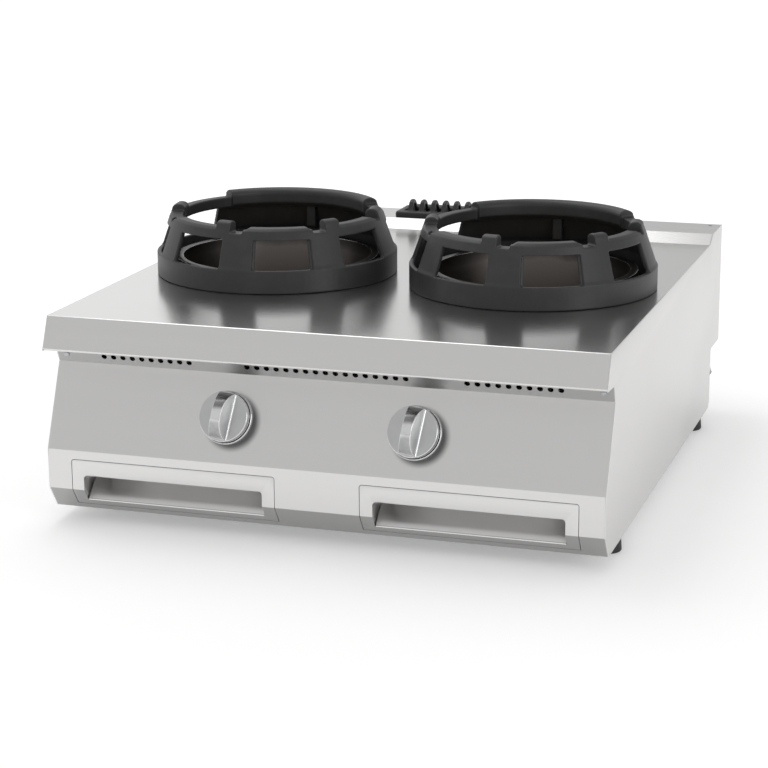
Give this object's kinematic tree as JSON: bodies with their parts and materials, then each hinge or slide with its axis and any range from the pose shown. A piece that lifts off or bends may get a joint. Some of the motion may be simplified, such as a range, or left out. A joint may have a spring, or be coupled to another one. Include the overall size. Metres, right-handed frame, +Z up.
{
  "type": "wok range",
  "caption": "Counter-top gas wok range: stainless body, cast wok rings over sunken burners, half-moon control knobs, pull-out drip trays and a cast flue grille.",
  "frame": {"origin": "on the floor, in the middle of the footprint with the knobs counted in", "axes": "+X to the right, +Y from the knobs to the flue, +Z up"},
  "size_m": [0.8, 0.9217, 0.4027],
  "materials": {
    "worktop_steel": "satin brushed stainless steel",
    "panel_steel": "satin brushed stainless steel",
    "tray_steel": "satin brushed stainless steel",
    "well_steel": "drawn stainless steel, warmed brown by the flame",
    "frame_steel": "mill-finish sheet steel",
    "black_cast_iron": "matt black enamelled cast iron",
    "grey_cast_iron": "bare grey cast iron",
    "burner_brass": "machined brass, heat-dulled",
    "valve_brass": "forged brass",
    "gas_pipe": "steel gas pipe",
    "copper_tube": "drawn copper tube",
    "knob_metal": "satin and polished chromed metal",
    "bright_screws": "bright zinc-plated steel",
    "foot_rubber": "black rubber"
  },
  "bodies": {
    "range_body": {"band_screws": "bright_screws", "base_pan": "frame_steel", "base_screws": "bright_screws", "centre_divider": "frame_steel", "feet": "foot_rubber", "flue_duct": "frame_steel", "foot_bolts": "bright_screws", "front_panel": "panel_steel", "gas_manifold": "gas_pipe", "heat_shield": "frame_steel", "inlet_connector": "valve_brass", "inlet_pipe": "gas_pipe", "left_burner_body": "grey_cast_iron", "left_burner_bracket": "frame_steel", "left_burner_well": "well_steel", "left_gas_valve": "valve_brass", "left_injector": "burner_brass", "left_injector_bracket": "frame_steel", "left_knob_bezel": "knob_metal", "left_pilot_burner": "burner_brass", "left_pilot_tube": "copper_tube", "left_side_panel": "panel_steel", "left_supply_tube": "copper_tube", "left_thermocouple": "copper_tube", "left_venturi": "grey_cast_iron", "lower_back_panel": "panel_steel", "manifold_posts": "frame_steel", "right_burner_body": "grey_cast_iron", "right_burner_bracket": "frame_steel", "right_burner_well": "well_steel", "right_gas_valve": "valve_brass", "right_injector": "burner_brass", "right_injector_bracket": "frame_steel", "right_knob_bezel": "knob_metal", "right_pilot_burner": "burner_brass", "right_pilot_tube": "copper_tube", "right_side_panel": "panel_steel", "right_supply_tube": "copper_tube", "right_thermocouple": "copper_tube", "right_venturi": "grey_cast_iron", "riser_cap": "worktop_steel", "tray_runners": "frame_steel", "upper_back_panel": "panel_steel", "well_screws": "bright_screws", "worktop": "worktop_steel"},
    "left_plunger": {"left_valve_plunger": "burner_brass"},
    "left_knob": {"left_knob": "knob_metal", "left_valve_spindle": "bright_screws"},
    "left_tray": {"left_tray_front": "tray_steel", "left_tray_box": "tray_steel"},
    "left_wok_ring": {"left_wok_ring": "black_cast_iron"},
    "left_burner_cap": {"left_burner_cap": "burner_brass"},
    "right_plunger": {"right_valve_plunger": "burner_brass"},
    "right_knob": {"right_knob": "knob_metal", "right_valve_spindle": "bright_screws"},
    "right_tray": {"right_tray_front": "tray_steel", "right_tray_box": "tray_steel"},
    "right_wok_ring": {"right_wok_ring": "black_cast_iron"},
    "right_burner_cap": {"right_burner_cap": "burner_brass"},
    "flue_grille": {"flue_grille": "black_cast_iron"}
  },
  "joints": [
    {"name": "left_knob_push", "type": "slide", "parent": "range_body", "child": "left_plunger", "axis": [0, 0.9235, -0.3836], "range_m": [0, 0.003], "stiffness_N_per_m": 900, "springref_m": -0.004},
    {"name": "left_knob_turn", "type": "hinge", "parent": "left_plunger", "child": "left_knob", "pos_m": [-0.135, -0.41105, 0.1694], "axis": [0, -0.9235, 0.3836], "range_deg": [0, 180]},
    {"name": "left_tray_slide", "type": "slide", "parent": "range_body", "child": "left_tray", "axis": [0, -1, 0], "range_m": [0, 0.45]},
    {"name": "left_wok_ring_lift", "type": "slide", "parent": "range_body", "child": "left_wok_ring", "axis": [0, 0, 1], "range_m": [0, 0.12]},
    {"name": "left_burner_cap_lift", "type": "slide", "parent": "range_body", "child": "left_burner_cap", "axis": [0, 0, 1], "range_m": [0, 0.15]},
    {"name": "right_knob_push", "type": "slide", "parent": "range_body", "child": "right_plunger", "axis": [0, 0.9235, -0.3836], "range_m": [0, 0.003], "stiffness_N_per_m": 900, "springref_m": -0.004},
    {"name": "right_knob_turn", "type": "hinge", "parent": "right_plunger", "child": "right_knob", "pos_m": [0.135, -0.41105, 0.1694], "axis": [0, -0.9235, 0.3836], "range_deg": [0, 180]},
    {"name": "right_tray_slide", "type": "slide", "parent": "range_body", "child": "right_tray", "axis": [0, -1, 0], "range_m": [0, 0.45]},
    {"name": "right_wok_ring_lift", "type": "slide", "parent": "range_body", "child": "right_wok_ring", "axis": [0, 0, 1], "range_m": [0, 0.12]},
    {"name": "right_burner_cap_lift", "type": "slide", "parent": "range_body", "child": "right_burner_cap", "axis": [0, 0, 1], "range_m": [0, 0.15]},
    {"name": "flue_grille_lift", "type": "slide", "parent": "range_body", "child": "flue_grille", "axis": [0, 0, 1], "range_m": [0, 0.06]}
  ]
}
